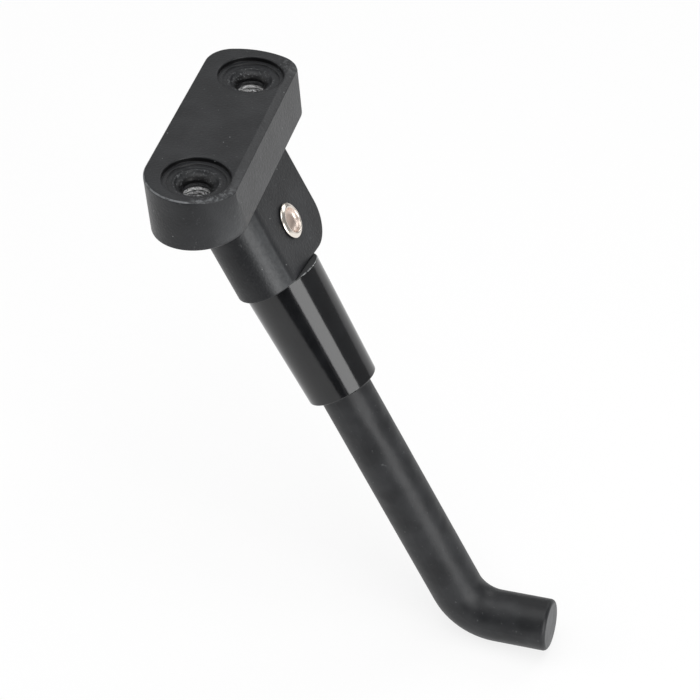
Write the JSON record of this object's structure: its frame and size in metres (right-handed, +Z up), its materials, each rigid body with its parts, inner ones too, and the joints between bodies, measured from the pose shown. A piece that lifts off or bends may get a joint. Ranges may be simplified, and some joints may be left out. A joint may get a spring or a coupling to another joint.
{
  "type": "scooter kickstand",
  "caption": "Folding side stand for an electric scooter: a cast screw-on bracket, a riveted pivot, a sprung lock sleeve and a bent round leg with a short foot.",
  "frame": {"origin": "on the bracket's mounting face, midway between the two screw holes", "axes": "+Z up into the deck, +X along the plate towards its round end, +Y to the side that the leg leans to"},
  "size_m": [0.0584, 0.0925, 0.1214],
  "materials": {
    "bracket_black": "cast, with a matte black powder coat",
    "leg_black": "satin black over steel",
    "sleeve_black": "gloss black over steel",
    "rivet_plate": "bright nickel plate",
    "spring_steel": "oiled spring steel"
  },
  "bodies": {
    "bracket": {"mount_bracket": "bracket_black", "pivot_rivet": "rivet_plate"},
    "leg": {"leg_rod": "leg_black", "sleeve_spring": "spring_steel", "spring_seat_washer": "spring_steel", "retaining_ring": "spring_steel"},
    "sleeve": {"spring_sleeve": "sleeve_black"}
  },
  "joints": [
    {"name": "leg_fold", "type": "hinge", "parent": "bracket", "child": "leg", "pos_m": [-0.0063, 0.0067, -0.03065], "axis": [0, 0.8415, 0.5402], "range_deg": [0, 90]},
    {"name": "sleeve_slide", "type": "slide", "parent": "leg", "child": "sleeve", "axis": [0.1444, 0.5346, -0.8327], "range_m": [0, 0.0078], "deforming": ["sleeve_spring"]}
  ],
  "couplings": [
    {"joint": "sleeve_slide", "follows": "leg_fold", "m_per_rad": 0.0049274}
  ]
}
